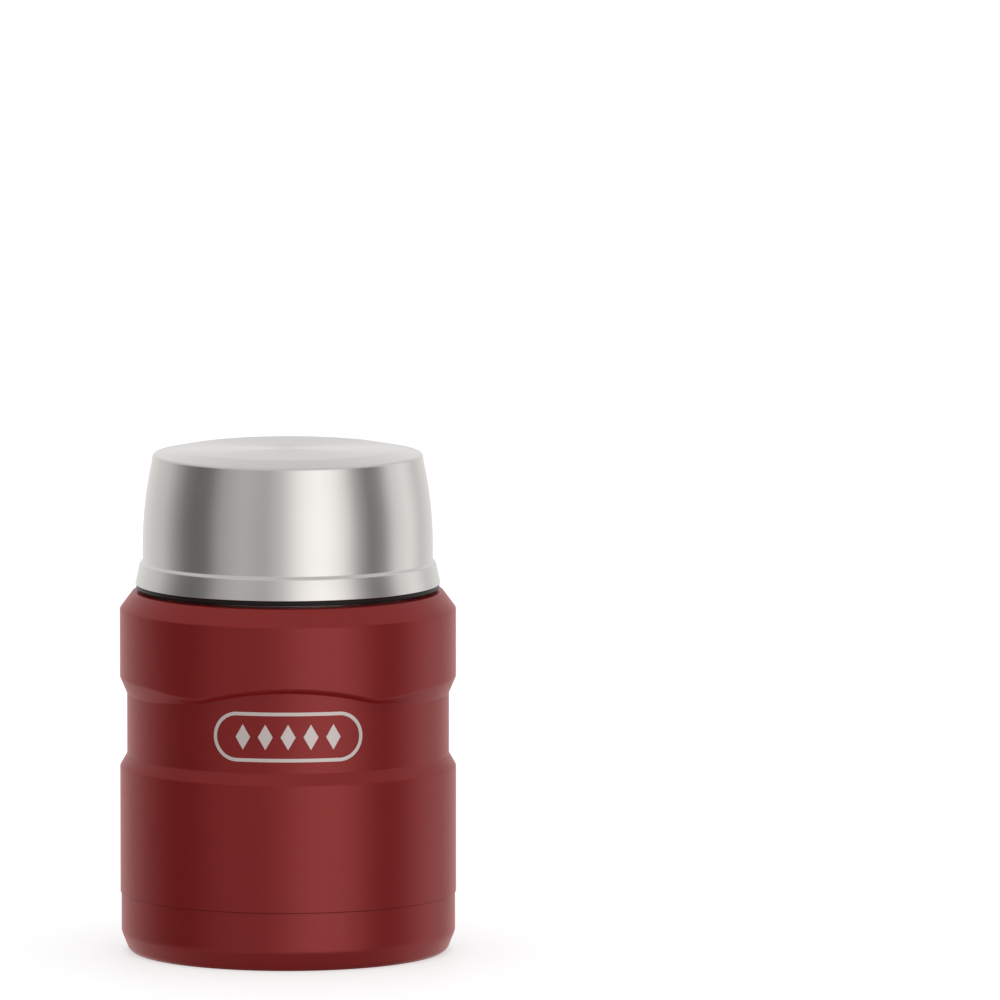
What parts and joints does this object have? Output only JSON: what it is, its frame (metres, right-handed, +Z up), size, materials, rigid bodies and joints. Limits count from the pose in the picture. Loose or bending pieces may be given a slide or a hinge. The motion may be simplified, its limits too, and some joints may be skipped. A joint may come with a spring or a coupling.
{
  "type": "insulated food jar",
  "caption": "Vacuum insulated food jar: red banded steel shell with an arched recess, screw-on steel cup lid, threaded stopper and a short folding spoon.",
  "frame": {"origin": "on the floor, in the middle of the jar's foot", "axes": "+Z up the jar's axis to the lid, the front with the arched recess faces -Y, +X to the right seen from the front"},
  "size_m": [0.0944, 0.0944, 0.1421],
  "materials": {
    "red_coat": "satin powder coat with a fine orange-peel",
    "red_coat_base": "satin powder coat with a fine orange-peel",
    "solder_glass": "glassy dark bead of solder glass",
    "bare_steel": "plain matt steel disc",
    "neck_steel": "turned, satin stainless steel",
    "liner_steel": "electropolished satin stainless steel",
    "foil": "bright thin foil",
    "getter_metal": "dull pressed metal powder",
    "stopper_plastic": "moulded matt black polypropylene",
    "cover_plastic": "moulded fine-textured black polypropylene",
    "foam": "white expanded foam",
    "silicone": "soft grey silicone rubber",
    "black_plastic": "moulded matt black polypropylene",
    "lid_steel": "stainless steel brushed round the axis",
    "bowl_steel": "drawn satin stainless steel",
    "spoon_steel": "polished stainless steel"
  },
  "bodies": {
    "jar": {"outer_shell": "red_coat", "base_cap": "red_coat_base", "vacuum_plug": "solder_glass", "base_disc": "bare_steel", "neck_ring": "neck_steel", "inner_vessel": "liner_steel", "radiation_foil": "foil", "getter": "getter_metal"},
    "stopper_carrier": {"stopper_foam": "foam"},
    "stopper_climb": {"stopper_gasket": "silicone"},
    "stopper": {"stopper_body": "stopper_plastic", "stopper_cover": "cover_plastic"},
    "spoon": {"spoon_bowl": "spoon_steel", "spoon_handle": "spoon_steel", "spoon_pin": "spoon_steel"},
    "lid_carrier": {"lid_insulation": "foam"},
    "lid_climb": {"lid_gasket": "silicone"},
    "lid": {"lid_shell": "lid_steel", "lid_collar": "black_plastic", "lid_bowl": "bowl_steel"}
  },
  "joints": [
    {"name": "stopper_lift", "type": "slide", "parent": "jar", "child": "stopper_carrier", "axis": [0, 0, 1], "range_m": [0, 0.06]},
    {"name": "stopper_rise", "type": "slide", "parent": "stopper_carrier", "child": "stopper_climb", "axis": [0, 0, 1], "range_m": [0, 0.0063]},
    {"name": "stopper_turn", "type": "hinge", "parent": "stopper_climb", "child": "stopper", "pos_m": [0, 0, 0.1], "axis": [0, 0, 1], "range_deg": [0, 450]},
    {"name": "spoon_lift", "type": "slide", "parent": "stopper", "child": "spoon", "axis": [0, 0, 1], "range_m": [0, 0.04]},
    {"name": "lid_lift", "type": "slide", "parent": "spoon", "child": "lid_carrier", "axis": [0, 0, 1], "range_m": [0, 0.06]},
    {"name": "lid_rise", "type": "slide", "parent": "lid_carrier", "child": "lid_climb", "axis": [0, 0, 1], "range_m": [0, 0.0063]},
    {"name": "lid_turn", "type": "hinge", "parent": "lid_climb", "child": "lid", "pos_m": [0, 0, 0.1], "axis": [0, 0, 1], "range_deg": [0, 450]}
  ],
  "couplings": [
    {"joint": "stopper_rise", "follows": "stopper_turn", "m_per_rad": 0.00079577},
    {"joint": "lid_rise", "follows": "lid_turn", "m_per_rad": 0.00079577}
  ]
}
